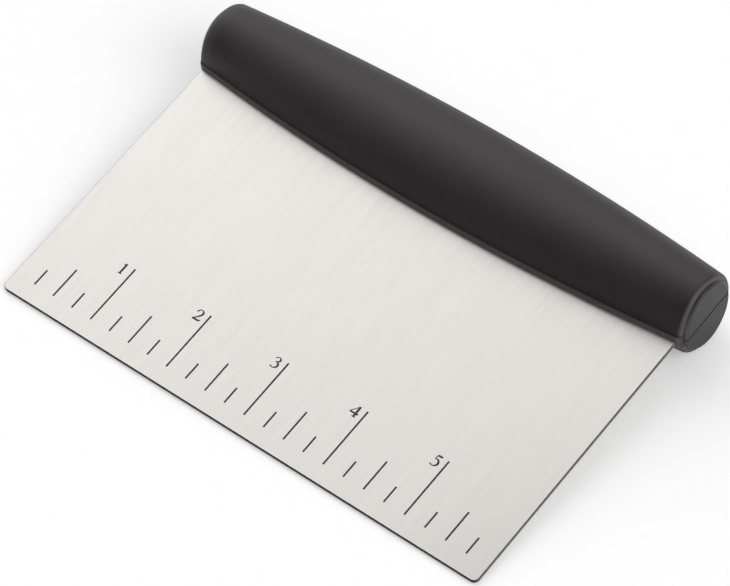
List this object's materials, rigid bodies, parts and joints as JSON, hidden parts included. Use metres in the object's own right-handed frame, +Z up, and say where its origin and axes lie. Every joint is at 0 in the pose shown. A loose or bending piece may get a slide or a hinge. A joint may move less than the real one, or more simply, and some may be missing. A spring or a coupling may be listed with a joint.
{
  "type": "bench scraper",
  "caption": "Flat rectangular steel blade with an etched inch ruler along its scraping edge, clamped in a barrel-shaped soft-grip handle that runs the full width.",
  "frame": {"origin": "centre of the flat face of the scraping edge, at mid-thickness of the blade", "axes": "+X along the scraping edge, towards the high end of the ruler; +Y level from the edge towards the grip; +Z up from the bench. At rest the object lies on the grip's back and the blade's lower edge corner with its ruled face up, so the blade rises towards the grip at 7.05 degrees"},
  "size_m": [0.1572, 0.1058, 0.0237],
  "materials": {
    "blade_steel": "fine satin brushed stainless sheet",
    "soft_grip": "matte soft-touch black elastomer",
    "hard_core": "satin black moulded plastic",
    "rivet_steel": "plain steel",
    "etch_fill": "matte black fill in etched lines"
  },
  "bodies": {
    "root": {"blade": "blade_steel", "grip_sleeve": "soft_grip", "core_front": "hard_core", "core_back": "hard_core", "tang_rivets": "rivet_steel", "inch_ticks": "etch_fill", "half_inch_ticks": "etch_fill", "quarter_inch_ticks": "etch_fill", "numerals": "etch_fill"}
  },
  "joints": []
}
